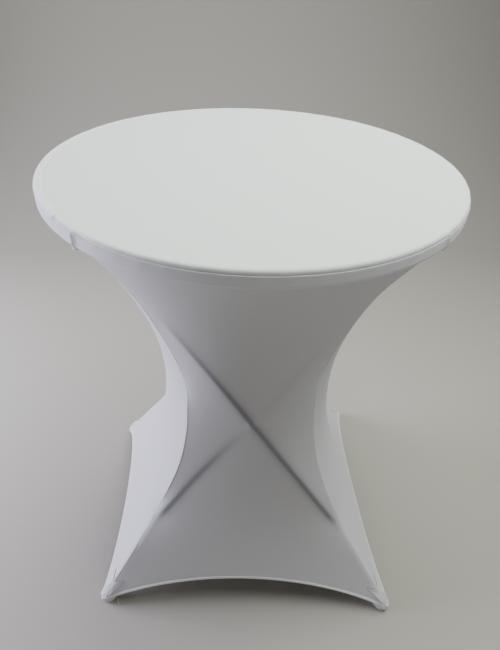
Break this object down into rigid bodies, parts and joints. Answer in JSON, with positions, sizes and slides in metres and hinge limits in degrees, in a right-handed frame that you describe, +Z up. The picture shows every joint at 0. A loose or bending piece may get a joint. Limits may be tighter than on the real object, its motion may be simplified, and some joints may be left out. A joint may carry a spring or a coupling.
{
  "type": "covered folding table",
  "caption": "Round folding standing table with a hinged scissor frame, dressed in a fitted white stretch tablecloth with foot pockets.",
  "frame": {"origin": "on the floor, under the centre of the table top", "axes": "+Z up, +X right across the scissor frame, +Y from the front to the back"},
  "size_m": [0.7999, 0.8, 1.1],
  "materials": {
    "board": "laminated board",
    "edging": "satin moulded",
    "zinc_steel": "zinc plated",
    "clip_nylon": "moulded",
    "fastener_steel": "zinc plated",
    "stretch_top": "stretched knit",
    "stretch_rim": "stretched knit, doubled",
    "stretch_skirt": "stretched knit",
    "stretch_pocket": "doubled knit",
    "plug_plastic": "moulded",
    "spacer_nylon": "moulded",
    "cap_rubber": "matte",
    "coated_tube": "powder coated"
  },
  "bodies": {
    "table_top": {"table_board": "board", "edge_trim": "edging", "hinge_bracket_front": "zinc_steel", "hinge_bracket_back": "zinc_steel", "snap_clip_front": "clip_nylon", "snap_clip_back": "clip_nylon", "bracket_screws": "fastener_steel", "cover_top_panel": "stretch_top", "cover_rim_band": "stretch_rim", "panel_front": "stretch_skirt", "panel_right": "stretch_skirt", "panel_back": "stretch_skirt", "panel_left": "stretch_skirt"},
    "outer_frame": {"outer_top_rail": "coated_tube", "outer_rail_plugs": "plug_plastic", "outer_leg_front": "coated_tube", "outer_leg_back": "coated_tube", "outer_brace": "coated_tube", "pivot_bolts": "fastener_steel", "pivot_spacers": "spacer_nylon", "pivot_nuts": "fastener_steel", "foot_cap_right_front": "cap_rubber", "foot_cap_right_back": "cap_rubber", "pocket_right_front": "stretch_pocket", "pocket_right_back": "stretch_pocket"},
    "inner_frame": {"inner_top_rail": "coated_tube", "inner_rail_plugs": "plug_plastic", "inner_leg_front": "coated_tube", "inner_leg_back": "coated_tube", "inner_brace": "coated_tube", "foot_cap_left_front": "cap_rubber", "foot_cap_left_back": "cap_rubber", "pocket_left_front": "stretch_pocket", "pocket_left_back": "stretch_pocket"}
  },
  "joints": [
    {"name": "scissor_fold", "type": "hinge", "parent": "outer_frame", "child": "inner_frame", "pos_m": [0, 0, 0.64049], "axis": [0, -1, 0], "range_deg": [0, 56]},
    {"name": "leg_swing", "type": "hinge", "parent": "table_top", "child": "outer_frame", "pos_m": [-0.245, 0, 1.054], "axis": [0, 1, 0], "range_deg": [0, 28], "deforming": ["panel_front", "panel_right", "panel_back", "panel_left"]}
  ],
  "couplings": [
    {"joint": "leg_swing", "follows": "scissor_fold", "ratio": 0.5}
  ]
}
